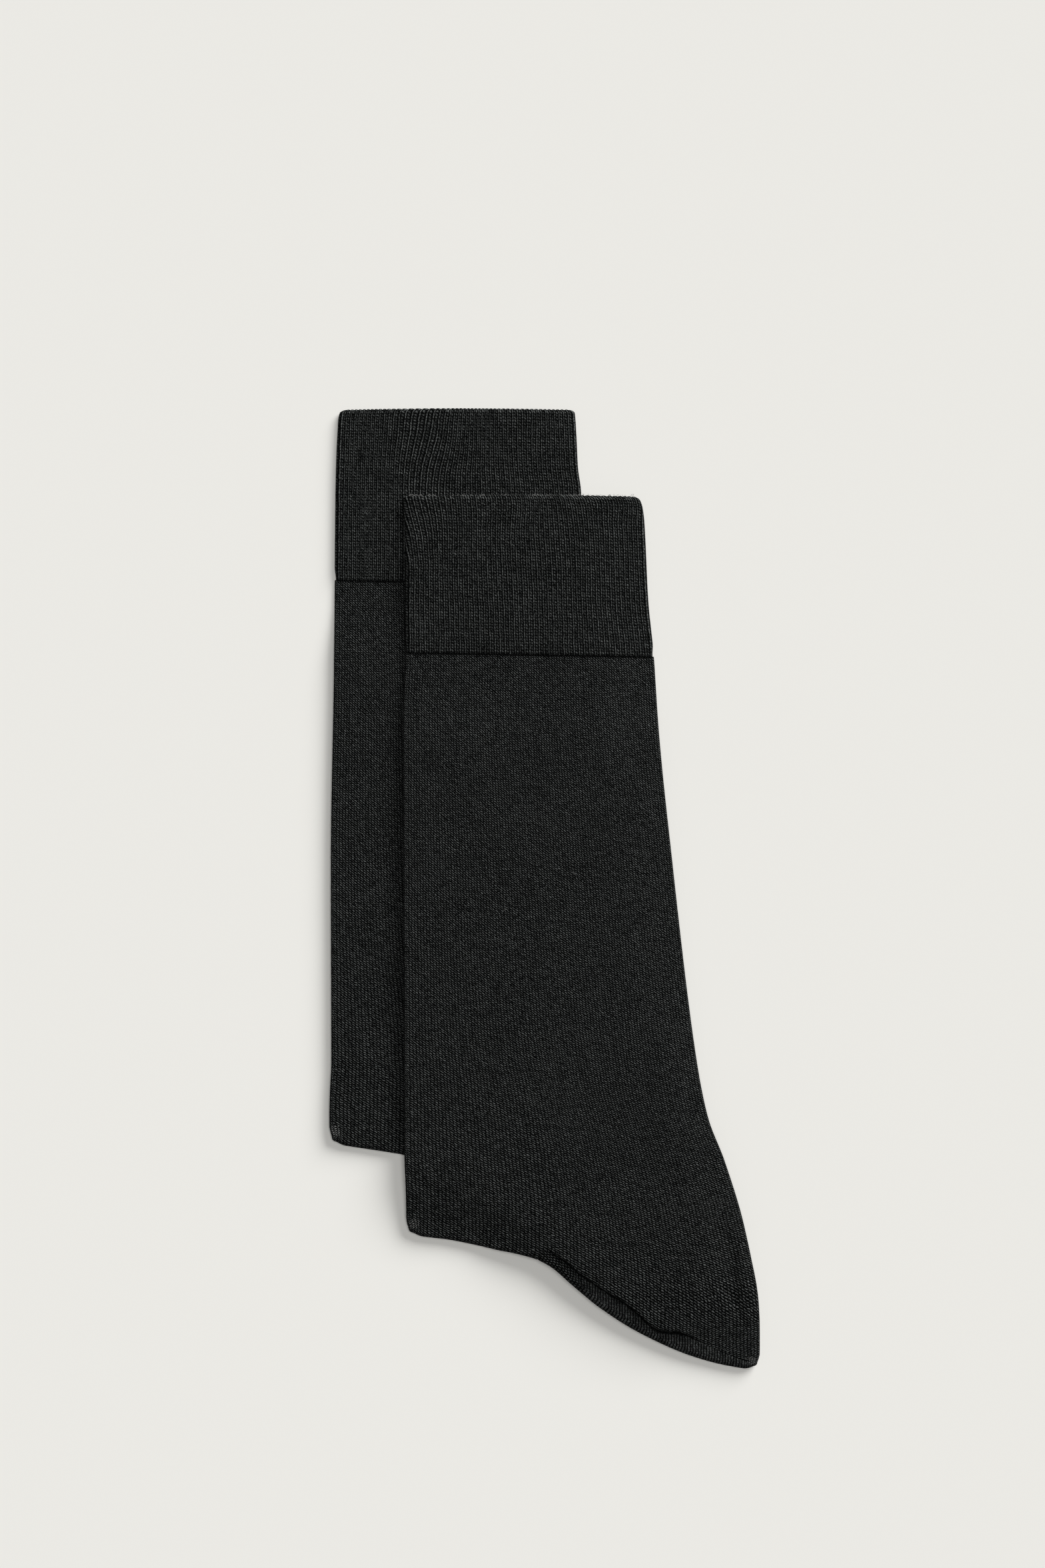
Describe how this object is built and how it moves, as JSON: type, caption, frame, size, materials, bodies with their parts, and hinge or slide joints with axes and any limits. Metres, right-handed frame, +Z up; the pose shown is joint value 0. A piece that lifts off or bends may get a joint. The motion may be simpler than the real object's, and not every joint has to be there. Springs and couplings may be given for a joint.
{
  "type": "pair of folded dress socks",
  "caption": "Pair of fine-knit calf socks with ribbed cuffs, each pressed flat and folded once at the ankle, one lying on the other.",
  "frame": {"origin": "middle of the footprint of the pair, on the surface that it rests on", "axes": "+Y along the legs towards the cuffs, +Z up, +X towards the side that the heels point to"},
  "size_m": [0.161, 0.3602, 0.0103],
  "materials": {
    "rib_knit": "charcoal black one-by-one rib knit, dull, with a faint heather",
    "plain_knit": "charcoal black fine plain knit, dull with a soft sheen, with pale fibre flecks",
    "heel_knit": "charcoal black plain knit of the heel, slightly denser and darker"
  },
  "bodies": {
    "root": {"front_cuff": "rib_knit", "front_leg": "plain_knit", "front_heel": "heel_knit", "front_foot": "plain_knit", "back_cuff": "rib_knit", "back_leg": "plain_knit", "back_heel": "heel_knit", "back_foot": "plain_knit"}
  },
  "joints": []
}
